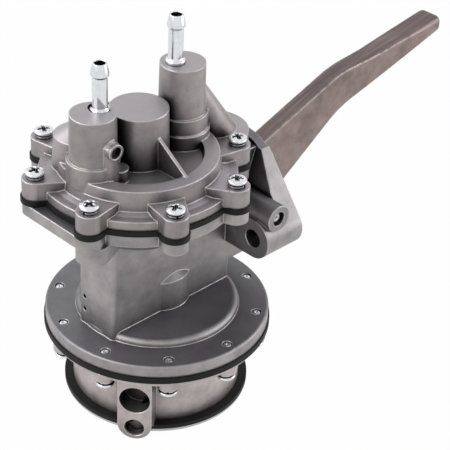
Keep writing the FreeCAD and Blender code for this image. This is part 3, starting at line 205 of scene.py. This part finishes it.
def setStops(ramp, stops):
    while len(ramp.elements) < len(stops):
        ramp.elements.new(0.5)
    for element, (spot, colour) in zip(ramp.elements, stops):
        element.position = spot
        element.color = colour


def grey(level):
    return (level, level, level, 1.0)


# colours of the three castings, and how far faces that look up take the top's colour; top is painted light
# on the cover and painted shade on the housing and cup, edge is a painted highlight on worn edges, and deep
# is the painted shade colour of pits, hollows, holes and corners
castings = {
    "coverCasting": {
        "dark": (0.232, 0.212, 0.215, 1),
        "light": (0.400, 0.368, 0.371, 1),
        "edge": (0.76, 0.73, 0.73, 1),
        "top": (0.46, 0.438, 0.462, 1),
        "deep": (0.018, 0.017, 0.018, 1),
        "paintedTopShare": 0.6,
    },
    "housingCasting": {
        "dark": (0.238, 0.225, 0.229, 1),
        "light": (0.435, 0.408, 0.411, 1),
        "edge": (0.72, 0.70, 0.70, 1),
        "top": (0.116, 0.121, 0.137, 1),
        "deep": (0.014, 0.013, 0.014, 1),
        "paintedTopShare": 0.7,
    },
    "cupCasting": {
        "dark": (0.350, 0.308, 0.306, 1),
        "light": (0.610, 0.545, 0.540, 1),
        "edge": (0.78, 0.75, 0.74, 1),
        "top": (0.30, 0.29, 0.30, 1),
        "deep": (0.014, 0.013, 0.014, 1),
        "paintedTopShare": 0.5,
    },
}

# skin that all castings share: scales of its patterns, reach in metres and share of each painted shade and
# of the painted edge highlight
castSkin = {
    "cloudScale": 38.0,
    "stainScale": 130.0,
    "grainScale": 1300.0,
    "pitScale": 620.0,
    "edgeHighlightAndWearScale": 240.0,
    "edgeRadius": 0.0011,
    "edgeHighlightShare": 0.8,
    "pitShare": 0.14,
    "holeReach": 0.020,
    "holeShare": 0.97,
    "hollowReach": 0.024,
    "hollowShare": 0.85,
    "cornerReach": 0.0035,
    "cornerShare": 0.5,
    "metallic": 0.8,
    "roughness": 0.34,
    "bumpDepth": 0.00012,
    "bumpStrength": 0.55,
}


# die-cast metal: mottled skin, fine grain, painted shade in corners, hollows, holes and pits, and brighter
# edges that are painted highlight in patches like wear
def castMetal(name, look, skinLook):
    g = Graph(name)
    where = g.place()
    clouds = g.noise(where, skinLook["cloudScale"], 4.0, 0.6)
    stains = g.noise(where, skinLook["stainScale"], 5.0, 0.65)
    grain = g.noise(where, skinLook["grainScale"], 2.0, 0.6)
    pits = g.band(g.noise(where, skinLook["pitScale"], 2.0, 0.5), 0.66, 0.74)
    rounded, edge = g.softEdges(skinLook["edgeRadius"])
    holes = g.crevice(skinLook["holeReach"], 0.50, 0.28)
    patches = g.band(g.noise(where, skinLook["edgeHighlightAndWearScale"], 3.0), 0.3, 0.6, 0.35, 1.0)
    # edges lightened towards the edge colour: a painted highlight in patches like wear, kept off hollows
    # and holes
    edgeHighlightAndWear = edge * patches * (1.0 - holes)
    skin = g.ramp(clouds * 0.6 + stains * 0.4, [(0.34, look["dark"]), (0.66, look["light"])])
    # faces that look up take the top colour: painted light on the cover's tops, painted shade on the
    # housing's and cup's tops
    level = g.band(g.upwards(), 0.5, 0.95)
    skin = g.mix(level * look["paintedTopShare"], skin, look["top"])
    # small pits darkened towards the painted shade colour
    skin = g.mix(pits * skinLook["pitShare"], skin, look["deep"])
    # painted shade in hollows and holes, darker on walls than on floors
    walls = 1.0 - level * 0.8
    hollows = g.crevice(skinLook["hollowReach"], 0.78, 0.30)
    skin = g.mix(hollows * walls * skinLook["hollowShare"], skin, look["deep"])
    skin = g.mix(holes * walls * skinLook["holeShare"], skin, look["deep"])
    # painted shade in tight corners
    corners = g.crevice(skinLook["cornerReach"], 0.55, 0.2)
    skin = g.mix(corners * skinLook["cornerShare"], skin, look["deep"])
    height = grain * 0.9 + stains * 0.9 - pits * 0.5
    return g.surface({
        "Base Color": g.mix(edgeHighlightAndWear * skinLook["edgeHighlightShare"], skin, look["edge"]),
        "Metallic": skinLook["metallic"],
        "Roughness": skinLook["roughness"] + stains * 0.16 + pits * 0.1 - edgeHighlightAndWear * 0.08,
        "Normal": g.bump(height, skinLook["bumpDepth"], rounded, skinLook["bumpStrength"]),
    })


# forged steel with its brown heat colour, and streaks along the lever; painted shade on faces that look up
# and in corners, and edges lightened as painted highlight and wear
forging = {
    "dark": (0.150, 0.110, 0.104, 1),
    "mid": (0.285, 0.218, 0.203, 1),
    "light": (0.44, 0.355, 0.330, 1),
    "edge": (0.72, 0.63, 0.60, 1),
    "top": (0.098, 0.070, 0.074, 1),
    "deep": (0.012, 0.010, 0.010, 1),
    "cloudScale": 30.0,
    "blotScale": 160.0,
    "streakScales": (30.0, 700.0, 60.0),
    "edgeHighlightAndWearScale": 200.0,
    "edgeRadius": 0.0022,
    "edgeHighlightShare": 0.8,
    "cornerReach": 0.01,
    "cornerShare": 0.7,
    "metallic": 0.5,
    "roughness": 0.33,
    "bumpDepth": 0.0001,
    "bumpStrength": 0.5,
}


def forgedSteel(look):
    g = Graph("forgedSteel")
    where = g.place()
    clouds = g.noise(where, look["cloudScale"], 5.0, 0.65)
    blots = g.noise(where, look["blotScale"], 4.0, 0.7)
    streaks = g.noise(g.stretch(where, look["streakScales"]), 1.0, 3.0, 0.5)
    rounded, edge = g.softEdges(look["edgeRadius"])
    top = g.band(g.upwards(), 0.55, 0.9)
    amount = clouds * 0.45 + blots * 0.3 + streaks * 0.25
    colour = g.ramp(amount, [(0.34, look["dark"]), (0.5, look["mid"]), (0.68, look["light"])])
    # faces that look up take the dark top colour as painted shade, broken by the streaks
    colour = g.mix(top * g.band(streaks, 0.3, 0.7, 0.85, 0.45), colour, look["top"])
    # painted shade in corners
    colour = g.mix(g.crevice(look["cornerReach"], 0.7, 0.15) * look["cornerShare"], colour, look["deep"])
    # edges lightened as a painted highlight in patches like wear
    edgeHighlightAndWear = edge * g.band(g.noise(where, look["edgeHighlightAndWearScale"], 3.0), 0.32, 0.55)
    return g.surface({
        "Base Color": g.mix(edgeHighlightAndWear * look["edgeHighlightShare"], colour, look["edge"]),
        "Metallic": look["metallic"],
        "Roughness": look["roughness"] + blots * 0.26 - edgeHighlightAndWear * 0.12,
        "Normal": g.bump(streaks * 0.5 + blots, look["bumpDepth"], rounded, look["bumpStrength"]),
    })


# bright plating of the hose barbs, with painted shade in its corners by the collar
plating = {
    "dark": (0.60, 0.61, 0.64, 1),
    "light": (0.84, 0.84, 0.86, 1),
    "deep": (0.02, 0.02, 0.022, 1),
    "hazeScale": 420.0,
    "cornerReach": 0.004,
    "cornerShare": 0.9,
    "roughness": 0.06,
}


def brightPlate(look):
    g = Graph("brightPlate")
    haze = g.noise(g.place(), look["hazeScale"], 3.0)
    plate = g.mix(haze, look["dark"], look["light"])
    # painted shade in corners
    corners = g.crevice(look["cornerReach"], 0.8, 0.2)
    return g.surface({
        "Base Color": g.mix(corners * look["cornerShare"], plate, look["deep"]),
        "Metallic": 1.0,
        "Roughness": look["roughness"] + haze * 0.08,
    })


# zinc on the screws and lock washers, with near-black painted shade in the cross and under the head
zinc = {
    "dark": (0.60, 0.61, 0.64, 1),
    "light": (0.88, 0.88, 0.90, 1),
    "deep": (0.012, 0.012, 0.014, 1),
    "hazeScale": 700.0,
    "cornerReach": 0.0022,
    "cornerShare": 0.985,
    "edgeRadius": 0.0003,
    "roughness": 0.10,
}


def zincPlate(look):
    g = Graph("zincPlate")
    haze = g.noise(g.place(), look["hazeScale"], 4.0, 0.6)
    plate = g.mix(haze, look["dark"], look["light"])
    rounded, edge = g.softEdges(look["edgeRadius"])
    # painted shade, near black, in the cross and under the head
    corners = g.crevice(look["cornerReach"], 0.93, 0.60)
    return g.surface({
        "Base Color": g.mix(corners * look["cornerShare"], plate, look["deep"]),
        "Metallic": 1.0,
        "Roughness": look["roughness"] + haze * 0.12 - edge * 0.04,
        "Normal": rounded,
    })


# plain machined metals: their two colours, and the skin that they share, with painted shade in corners
plainMetals = {
    "plainSteel": {"dark": (0.42, 0.42, 0.43, 1), "light": (0.62, 0.62, 0.62, 1)},
    "springSteel": {"dark": (0.30, 0.31, 0.33, 1), "light": (0.50, 0.51, 0.53, 1)},
    "valveBrass": {"dark": (0.50, 0.38, 0.16, 1), "light": (0.76, 0.60, 0.30, 1)},
}
plainSkin = {
    "deep": (0.02, 0.02, 0.02, 1),
    "hazeScale": 260.0,
    "lineScales": (900.0, 900.0, 60.0),
    "cornerReach": 0.004,
    "cornerShare": 0.85,
    "edgeRadius": 0.0004,
    "metallic": 0.95,
    "roughness": 0.24,
    "bumpDepth": 0.00003,
    "bumpStrength": 0.5,
}


def plainMetal(name, look, skinLook):
    g = Graph(name)
    where = g.place()
    haze = g.noise(where, skinLook["hazeScale"], 4.0, 0.6)
    lines = g.noise(g.stretch(where, skinLook["lineScales"]), 1.0)
    metal = g.mix(haze * 0.7 + lines * 0.3, look["dark"], look["light"])
    rounded, edge = g.softEdges(skinLook["edgeRadius"])
    # painted shade in corners
    corners = g.crevice(skinLook["cornerReach"], 0.75, 0.2)
    return g.surface({
        "Base Color": g.mix(corners * skinLook["cornerShare"], metal, skinLook["deep"]),
        "Metallic": skinLook["metallic"],
        "Roughness": skinLook["roughness"] + haze * 0.2 - edge * 0.08,
        "Normal": g.bump(lines, skinLook["bumpDepth"], rounded, skinLook["bumpStrength"]),
    })


# cloth-backed rubber of the sheets, the base gasket and the rod seals
rubber = {
    "dark": (0.004, 0.004, 0.004, 1),
    "dust": (0.013, 0.012, 0.012, 1),
    "clothScale": 1500.0,
    "dustScale": 90.0,
    "dustShare": 0.5,
    "edgeRadius": 0.0006,
    "roughness": 0.45,
    "specular": 0.22,
    "bumpDepth": 0.0001,
    "bumpStrength": 0.6,
}


def blackRubber(look):
    g = Graph("blackRubber")
    where = g.place()
    cloth = g.noise(where, look["clothScale"], 2.0)
    dust = g.band(g.noise(where, look["dustScale"], 4.0, 0.6), 0.4, 0.75)
    rounded, edge = g.softEdges(look["edgeRadius"])
    return g.surface({
        "Base Color": g.mix(dust * look["dustShare"], look["dark"], look["dust"]),
        "Roughness": look["roughness"] + cloth * 0.2,
        "Specular IOR Level": look["specular"],
        "Normal": g.bump(cloth, look["bumpDepth"], rounded, look["bumpStrength"]),
    })


# each material slot of the record, and the cup's own casting skin
skins = {
    "cast_cover": castMetal("coverCasting", castings["coverCasting"], castSkin),
    "cast_housing": castMetal("housingCasting", castings["housingCasting"], castSkin),
    "cast_cup": castMetal("cupCasting", castings["cupCasting"], castSkin),
    "forged_steel": forgedSteel(forging),
    "bright_plate": brightPlate(plating),
    "zinc_steel": zincPlate(zinc),
    "plain_steel": plainMetal("plainSteel", plainMetals["plainSteel"], plainSkin),
    "spring_steel": plainMetal("springSteel", plainMetals["springSteel"], plainSkin),
    "valve_brass": plainMetal("valveBrass", plainMetals["valveBrass"], plainSkin),
    "black_rubber": blackRubber(rubber),
    "seal_rubber": blackRubber(rubber),
}
ownSkins = {"vacuum_cover": "cast_cup"}


def dressNode(name, slot):
    mesh = nodes[name].data
    skin = skins[ownSkins.get(name, slot)]
    for spot in range(len(mesh.materials)):
        mesh.materials[spot] = skin
    if not mesh.materials:
        mesh.materials.append(skin)


for part in frame["record"]["subparts"]:
    dressNode(part["node"], part["material_slot"])
print("materials set")


# turned pieces and screws, made finer than the solids; slot is given where it isn't the skin's own name
def meshObject(name, bm, skin):
    mesh = bpy.data.meshes.new(name)
    bmesh.ops.recalc_face_normals(bm, faces=bm.faces)
    bm.to_mesh(mesh)
    bm.free()
    mesh.materials.append(skins[skin])
    for face in mesh.polygons:
        face.use_smooth = True
    made = bpy.data.objects.new(name, mesh)
    bpy.context.scene.collection.objects.link(made)
    return made


def lathe(bm, profile, axis, around=96, closed=True):
    # turns (radius, height) pairs in millimetres round an upright axis
    rings = []
    for radius, height in profile:
        ring = []
        for step in range(around):
            angle = 2 * pi * step / around
            spot = Vector((radius * cos(angle), radius * sin(angle), height)) * mm + axis
            ring.append(bm.verts.new(spot))
        rings.append(ring)
    count = len(rings) if closed else len(rings) - 1
    for level in range(count):
        lower = rings[level]
        upper = rings[(level + 1) % len(rings)]
        for step in range(around):
            after = (step + 1) % around
            bm.faces.new((lower[step], lower[after], upper[after], upper[step]))


def roundedProfile(points, radii, steps=5):
    # replaces each corner of a closed profile with a curve of its radius
    rounded = []
    count = len(points)
    for here, radius in enumerate(radii):
        corner = Vector(points[here])
        before = Vector(points[here - 1]) - corner
        after = Vector(points[(here + 1) % count]) - corner
        if radius <= 0:
            rounded.append(tuple(corner))
            continue
        cut = min(radius, before.length * 0.45, after.length * 0.45)
        first = corner + before.normalized() * cut
        last = corner + after.normalized() * cut
        for step in range(steps + 1):
            share = step / steps
            rest = 1 - share
            spot = first * rest ** 2 + corner * 2 * share * rest + last * share ** 2
            rounded.append(tuple(spot))
    return rounded


# hose barb: radii and lengths in millimetres, and the rounding of each corner of its profile
barb = {
    "bore": 2.75,
    "shank": 8.0,
    "stem": 3.9,
    "collar": 5.1,
    "collarTall": 2.6,
    "collarEdge": 0.6,
    "crest": 4.7,
    "headTall": 6.2,
    "land": 1.2,
    "mouth": 3.6,
    "length": 26.3,
    "rounding": [0, 0, 0, 0.3, 0.5, 0.7, 0.3, 0.15, 0.4, 0.5, 0.4],
}


def makeBarb(name, look):
    low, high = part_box(name)
    axis = Vector(((low.x + high.x) / 2, (low.y + high.y) / 2, low.z + look["shank"] * mm))
    long = look["length"]
    crest = long - look["headTall"]
    points = [
        (look["bore"], -look["shank"]),
        (look["stem"], -look["shank"]),
        (look["stem"], 0.0),
        (look["collar"], 0.0),
        (look["collar"], look["collarTall"] * look["collarEdge"]),
        (look["stem"], look["collarTall"]),
        (look["stem"], crest - look["land"]),
        (look["crest"], crest),
        (look["crest"], crest + look["land"]),
        (look["mouth"], long),
        (look["bore"], long),
    ]
    bm = bmesh.new()
    lathe(bm, roundedProfile(points, look["rounding"]), axis)
    made = meshObject(name + "_fine", bm, "bright_plate")
    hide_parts(name)
    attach(made, "housing")


for barbName in ("inlet_barb", "outlet_barb"):
    makeBarb(barbName, barb)
print("barbs made")


# pan head screw: radii and heights in millimetres, above the face that its lock washer lies on
screw = {
    "head": 4.9,
    "headTall": 3.2,
    "crown": 1.0,
    "crownPower": 3.0,
    "bulge": 0.12,
    "bulgeDrop": 0.35,
    "skirt": 0.05,
    "lip": 0.25,
    "lipTall": 0.15,
    "washer": 1.3,
    "gap": 1.0,
    "gapIn": 1.3,
    "gapFloor": 0.1,
    "shank": 2.5,
    "tuck": 2.0,
    "core": 0.01,
    "crossArm": 3.2,
    "crossHalf": 0.78,
    "crossDepth": 2.1,
    "sideSlope": 0.22,
    "endSlope": 0.9,
    "firstTurn": 0.4,
    "nextTurn": 1.9,
    "around": 56,
    "ringsOver": 22,
}


def crossDepth(x, y, look):
    # a cross with arms that slope to its middle
    reach = max(abs(x), abs(y))
    aside = min(abs(x), abs(y))
    across = 1.0 - min(max((aside - look["crossHalf"]) / look["sideSlope"], 0.0), 1.0)
    along = min(max((look["crossArm"] - reach) / look["endSlope"], 0.0), 1.0)
    return look["crossDepth"] * across * along


def crownHeight(x, y, radius, top, look):
    fall = look["crown"] * (radius / look["head"]) ** look["crownPower"]
    return top - fall - crossDepth(x, y, look)


def panHead(bm, axis, up, turn, look):
    # a polar grid over the crown, with the cross pressed into it
    around = look["around"]
    head = look["head"]
    under = look["washer"]
    top = under + look["headTall"]
    corners = [(cos(2 * pi * step / around), sin(2 * pi * step / around)) for step in range(around)]
    rings = []
    for number in range(look["ringsOver"]):
        radius = head * (number + 1) / look["ringsOver"]
        ring = []
        for east, north in corners:
            x, y = radius * east, radius * north
            height = crownHeight(x, y, radius, top, look)
            ring.append(bm.verts.new(spotOn(axis, x, y, height, up, turn)))
        rings.append(ring)
    # the side of the head, then the dark gap above the lock washer
    side = [
        (head + look["bulge"], top - look["crown"] - look["bulgeDrop"]),
        (head + look["skirt"], under + look["gap"]),
        (head - look["lip"], under + look["gap"] - look["lipTall"]),
        (head - look["gapIn"], under + look["gapFloor"]),
        (look["shank"], under),
        (look["shank"], under - look["tuck"]),
    ]
    for radius, height in side:
        ring = [spotOn(axis, radius * east, radius * north, height, up, turn) for east, north in corners]
        rings.append([bm.verts.new(spot) for spot in ring])
    middle = bm.verts.new(spotOn(axis, 0, 0, top - look["crossDepth"], up, turn))
    for step in range(around):
        bm.faces.new((middle, rings[0][step], rings[0][(step + 1) % around]))
    for lower, upper in zip(rings, rings[1:]):
        for step in range(around):
            after = (step + 1) % around
            bm.faces.new((lower[step], upper[step], upper[after], lower[after]))
    bm.faces.new(list(reversed(rings[-1])))


def spotOn(axis, x, y, height, up, turn):
    # a point of a screw that is turned about its axis; up is 1, or -1 where its head hangs down
    flat = Matrix.Rotation(turn, 3, "Z") @ Vector((x, y, 0))
    return axis + Vector((flat.x, flat.y, height * up)) * mm


def shankUnder(bm, axis, up, length, look):
    shank, core, end = look["shank"], look["core"], -length * up
    lathe(bm, [(shank, end), (shank, 0.0), (core, 0.0), (core, end)], axis, 32)


def makeScrews(name, up, seat, length, place, look):
    bm = bmesh.new()
    for number in range(place["count"]):
        angle = radians(place["phase"]) + 2 * pi * number / place["count"]
        x = place["centre"] + place["ring"] * cos(angle)
        y = place["ring"] * sin(angle)
        axis = Vector((x, y, seat)) * mm + pumpAxis
        panHead(bm, axis, up, number * look["nextTurn"] + look["firstTurn"], look)
        shankUnder(bm, axis, up, length, look)
    made = meshObject(name + "_fine", bm, "zinc_steel")
    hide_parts(name)
    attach(made, "housing")


# the two rings of screws: place in millimetres, and the angle of the first
coverRing = {"count": 8, "ring": 53.7, "centre": -14.9, "phase": 22.5}
vacuumRing = {"count": 10, "ring": 54.0, "centre": 0.0, "phase": 18.0}


def heightOf(name, end):
    # lowest (0) or highest (1) point of a node, in the pump's own millimetres
    return (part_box(name)[end].z - pumpAxis.z) / mm


coverSeat = heightOf("cover_lock_washers", 0)
vacuumSeat = heightOf("vacuum_lock_washers", 1)
makeScrews("cover_screws", 1, coverSeat, coverSeat - heightOf("cover_screws", 0), coverRing, screw)
makeScrews("vacuum_screws", -1, vacuumSeat, heightOf("vacuum_screws", 1) - vacuumSeat, vacuumRing, screw)
print("screws made")


# pivot pin with a groove round each end; its length and radius come from the solid
pivotPin = {"groove": 0.7, "grooveDeep": 1.1, "crown": 0.5, "flatShare": 0.6, "core": 0.01}


def makePin(look):
    low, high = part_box("pivot_pin")
    half = (high.y - low.y) / 2 / mm
    radius = (high.z - low.z) / 2 / mm
    inner = radius - look["groove"]
    flat = inner * look["flatShare"]
    deep = half - look["grooveDeep"]
    crown = half - look["crown"]
    end = [(radius, deep), (inner, deep), (inner, crown), (flat, half), (look["core"], half)]
    profile = [(radius, -deep)] + end + [(side, -height) for side, height in reversed(end[1:])]
    bm = bmesh.new()
    lathe(bm, profile, atOrigin)
    made = meshObject("pivot_pin_fine", bm, "plain_steel")
    made.matrix_world = Matrix.Translation((low + high) / 2) @ Matrix.Rotation(radians(90), 4, "X")
    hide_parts("pivot_pin")
    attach(made, "housing")


# thread in the lower port: radius, ridge and place in millimetres, and the port's direction
portThread = {
    "radius": 5.35,
    "ridge": 0.6,
    "pitch": 1.05,
    "turns": 4,
    "turn": 216.0,
    "front": 55.9,
    "drop": 44.3,
}


def makeThread(look):
    profile = []
    for number in range(look["turns"]):
        start = -number * look["pitch"]
        profile.append((look["radius"], start))
        profile.append((look["radius"] - look["ridge"], start - look["pitch"] / 2))
    profile.append((look["radius"], -look["turns"] * look["pitch"]))
    bm = bmesh.new()
    lathe(bm, profile, atOrigin, 72, False)
    made = meshObject("portThread", bm, "cast_cup")
    turn = radians(look["turn"])
    out = Vector((cos(turn), sin(turn), 0))
    spot = (out * look["front"] + Vector((0, 0, -look["drop"]))) * mm + pumpAxis
    made.matrix_world = Matrix.Translation(spot) @ out.to_track_quat("Z", "Y").to_matrix().to_4x4()
    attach(made, "housing")


makePin(pivotPin)
makeThread(portThread)
print("pin and thread made")


# coil springs and their joints: travel in millimetres, and the end that stays (0 low, 1 high)
softSprings = {
    "return_spring": {"joint": "rocker_hinge", "travel": 3.6, "still": 0},
    "fuel_spring": {"joint": "fuel_rod_slide", "travel": 6.4, "still": 0},
    "vacuum_spring": {"joint": "vacuum_rod_slide", "travel": 4.8, "still": 0},
    "fuel_inlet_valve_spring": {"joint": "fuel_inlet_valve_lift", "travel": 1.2, "still": 0},
    "fuel_outlet_valve_spring": {"joint": "fuel_outlet_valve_lift", "travel": 1.2, "still": 1},
    "vacuum_inlet_valve_spring": {"joint": "vacuum_inlet_valve_lift", "travel": 1.2, "still": 1},
    "vacuum_outlet_valve_spring": {"joint": "vacuum_outlet_valve_lift", "travel": 1.2, "still": 0},
}


weldGap = 0.001 * mm


def makeSpring(name):
    # the solid's own coil with its seams welded, so that it shades as one round wire
    bm = bmesh.new()
    bm.from_mesh(nodes[name].data)
    bmesh.ops.transform(bm, matrix=nodes[name].matrix_world, verts=bm.verts)
    bmesh.ops.remove_doubles(bm, verts=bm.verts, dist=weldGap)
    made = meshObject(name + "_soft", bm, "spring_steel")
    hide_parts(name)
    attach(made, "housing")
    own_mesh(made)


for springName, springLook in softSprings.items():
    makeSpring(springName)
print("springs made")


# floor, world and lamps, in metres from the pump's axis; powers in watts
studio = {
    "floorSize": 6.0,
    "floorColour": (0.86, 0.86, 0.86, 1),
    "floorWhite": 0.98,
    "worldLight": 0.34,
    "aimHeight": 0.04,
    "lamps": {
        "keyLamp": {"place": (-0.95, 0.25, 0.6), "size": 0.9, "power": 7.0},
        "sideLamp": {"place": (0.85, -0.65, 0.35), "size": 0.8, "power": 4.0},
        "backLamp": {"place": (-0.35, 0.95, 0.9), "size": 0.8, "power": 3.5},
    },
}


def seenDirectly(g):
    # 1 for what the camera, a gloss or a glass sees
    path = g.node("ShaderNodeLightPath", {}, {}, "Is Camera Ray")
    rays = path.socket.node.outputs
    total = path + Wire(g, rays["Is Glossy Ray"]) + Wire(g, rays["Is Transmission Ray"])
    return g.node("ShaderNodeClamp", {}, {0: total})


def makeWorld(look):
    g = Graph("studioWorld", isWorld=True)
    white = g.node("ShaderNodeBackground", {}, {"Color": grey(1.0), "Strength": 1.0})
    soft = g.node("ShaderNodeBackground", {}, {"Color": grey(1.0), "Strength": look["worldLight"]})
    both = g.node("ShaderNodeMixShader", {}, {0: seenDirectly(g), 1: soft, 2: white})
    g.node("ShaderNodeOutputWorld", {}, {"Surface": both})
    bpy.context.scene.world = g.owner


def makeFloor(look):
    g = Graph("paleFloor")
    flat = g.node("ShaderNodeBsdfDiffuse", {}, {"Color": look["floorColour"]})
    glow = g.node("ShaderNodeEmission", {}, {"Color": grey(1.0), "Strength": 1.0})
    both = g.node("ShaderNodeMixShader", {}, {0: seenDirectly(g) * look["floorWhite"], 1: flat, 2: glow})
    g.node("ShaderNodeOutputMaterial", {}, {"Surface": both})
    bm = bmesh.new()
    bmesh.ops.create_grid(bm, x_segments=1, y_segments=1, size=look["floorSize"] / 2)
    mesh = bpy.data.meshes.new("paleFloor")
    bm.to_mesh(mesh)
    bm.free()
    mesh.materials.append(g.owner)
    floor = bpy.data.objects.new("paleFloor", mesh)
    floor.location = (pumpAxis.x, pumpAxis.y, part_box("base_plate")[0].z)
    bpy.context.scene.collection.objects.link(floor)


def makeLamps(look):
    target = pumpAxis + Vector((0, 0, look["aimHeight"]))
    for name, lampLook in look["lamps"].items():
        data = bpy.data.lights.new(name, "AREA")
        data.shape = "SQUARE"
        data.size = lampLook["size"]
        data.energy = lampLook["power"]
        lamp = bpy.data.objects.new(name, data)
        lamp.location = Vector(lampLook["place"]) + pumpAxis
        lamp.rotation_euler = (target - lamp.location).to_track_quat("-Z", "Y").to_euler()
        bpy.context.scene.collection.objects.link(lamp)


makeWorld(studio)
makeFloor(studio)
makeLamps(studio)
bpy.context.scene.view_settings.view_transform = "Standard"
print("studio made")
